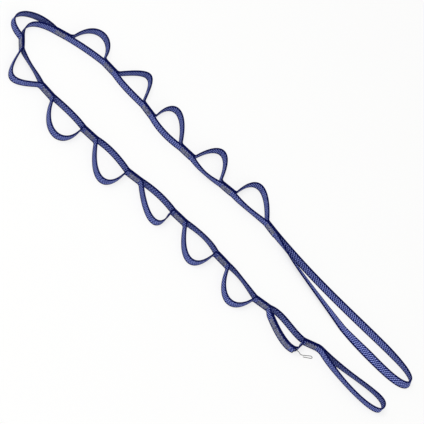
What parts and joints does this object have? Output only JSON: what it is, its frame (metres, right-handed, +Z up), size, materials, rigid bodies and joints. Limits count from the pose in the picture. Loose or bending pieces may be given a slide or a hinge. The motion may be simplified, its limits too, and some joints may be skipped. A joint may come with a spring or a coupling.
{
  "type": "climbing daisy chain",
  "caption": "Narrow doubled webbing ring, bar tacked into a row of pockets, with a long harness loop and a short clip loop, lying on its edge in a narrow U.",
  "frame": {"origin": "middle of the chain in plan, on the surface that it lies on", "axes": "+X along the U towards its two open ends, +Z up, the arm with the long harness loop on the +Y side"},
  "size_m": [0.719, 0.2072, 0.0121],
  "materials": {
    "webbing": "woven blue webbing with pale flecks",
    "sewing_thread": "dense grey sewing thread",
    "black_thread": "thin black thread"
  },
  "bodies": {
    "harness_end": {"harness_loop": "webbing"},
    "link_01": {"spine_01": "webbing", "pocket_01": "webbing", "bar_tack_01": "sewing_thread"},
    "link_02": {"spine_02": "webbing", "pocket_02": "webbing", "bar_tack_02": "sewing_thread"},
    "link_03": {"spine_03": "webbing", "pocket_03": "webbing", "bar_tack_03": "sewing_thread"},
    "link_04": {"spine_04": "webbing", "pocket_04": "webbing", "bar_tack_04": "sewing_thread"},
    "link_05": {"spine_05": "webbing", "pocket_05": "webbing", "bar_tack_05": "sewing_thread"},
    "link_06": {"spine_06": "webbing", "pocket_06": "webbing", "bar_tack_06": "sewing_thread"},
    "link_07": {"spine_07": "webbing", "pocket_07": "webbing", "bar_tack_07": "sewing_thread"},
    "link_08": {"spine_08": "webbing", "pocket_08": "webbing", "bar_tack_08": "sewing_thread"},
    "link_09": {"spine_09": "webbing", "pocket_09": "webbing", "bar_tack_09": "sewing_thread"},
    "link_10": {"spine_10": "webbing", "pocket_10": "webbing", "bar_tack_10": "sewing_thread"},
    "link_11": {"spine_11": "webbing", "pocket_11": "webbing", "bar_tack_11": "sewing_thread"},
    "link_12": {"spine_12": "webbing", "pocket_12": "webbing", "bar_tack_12": "sewing_thread"},
    "link_13": {"spine_13": "webbing", "pocket_13_outer_end": "webbing", "pocket_13_inner_end": "webbing", "lap_stitching_outside": "sewing_thread", "lap_stitching_inside": "sewing_thread", "bar_tack_13": "sewing_thread", "end_thread_knot": "black_thread", "end_thread": "black_thread"},
    "clip_end": {"clip_loop": "webbing", "bar_tack_14": "sewing_thread"}
  },
  "joints": [
    {"name": "fold_01", "type": "hinge", "parent": "link_01", "child": "harness_end", "pos_m": [0.09028, 0.04806, 0], "axis": [0, 0, 1], "range_deg": [-6.5, 30]},
    {"name": "fold_02", "type": "hinge", "parent": "link_02", "child": "link_01", "pos_m": [0.0104, 0.04902, 0], "axis": [0, 0, 1], "range_deg": [-5, 30]},
    {"name": "fold_03", "type": "hinge", "parent": "link_03", "child": "link_02", "pos_m": [-0.0626, 0.04637, 0], "axis": [0, 0, 1], "range_deg": [-4, 30]},
    {"name": "fold_04", "type": "hinge", "parent": "link_04", "child": "link_03", "pos_m": [-0.13864, 0.05262, 0], "axis": [0, 0, 1], "range_deg": [-3, 30]},
    {"name": "fold_05", "type": "hinge", "parent": "link_05", "child": "link_04", "pos_m": [-0.21471, 0.06386, 0], "axis": [0, 0, 1], "range_deg": [-2.5, 30]},
    {"name": "fold_06", "type": "hinge", "parent": "link_06", "child": "link_05", "pos_m": [-0.29312, 0.05163, 0], "axis": [0, 0, 1], "range_deg": [-2, 30]},
    {"name": "fold_07", "type": "hinge", "parent": "link_06", "child": "link_07", "pos_m": [-0.33092, -0.00905, 0], "axis": [0, 0, 1], "range_deg": [-30, 2]},
    {"name": "fold_08", "type": "hinge", "parent": "link_07", "child": "link_08", "pos_m": [-0.265, -0.04742, 0], "axis": [0, 0, 1], "range_deg": [-30, 2.5]},
    {"name": "fold_09", "type": "hinge", "parent": "link_08", "child": "link_09", "pos_m": [-0.1855, -0.0525, 0], "axis": [0, 0, 1], "range_deg": [-30, 3]},
    {"name": "fold_10", "type": "hinge", "parent": "link_09", "child": "link_10", "pos_m": [-0.10442, -0.05492, 0], "axis": [0, 0, 1], "range_deg": [-30, 3]},
    {"name": "fold_11", "type": "hinge", "parent": "link_10", "child": "link_11", "pos_m": [-0.02488, -0.05211, 0], "axis": [0, 0, 1], "range_deg": [-30, 4]},
    {"name": "fold_12", "type": "hinge", "parent": "link_11", "child": "link_12", "pos_m": [0.05475, -0.05495, 0], "axis": [0, 0, 1], "range_deg": [-30, 5.5]},
    {"name": "fold_13", "type": "hinge", "parent": "link_12", "child": "link_13", "pos_m": [0.13265, -0.0652, 0], "axis": [0, 0, 1], "range_deg": [-30, 8]},
    {"name": "fold_14", "type": "hinge", "parent": "link_13", "child": "clip_end", "pos_m": [0.21627, -0.06142, 0], "axis": [0, 0, 1], "range_deg": [-12, 13]}
  ]
}
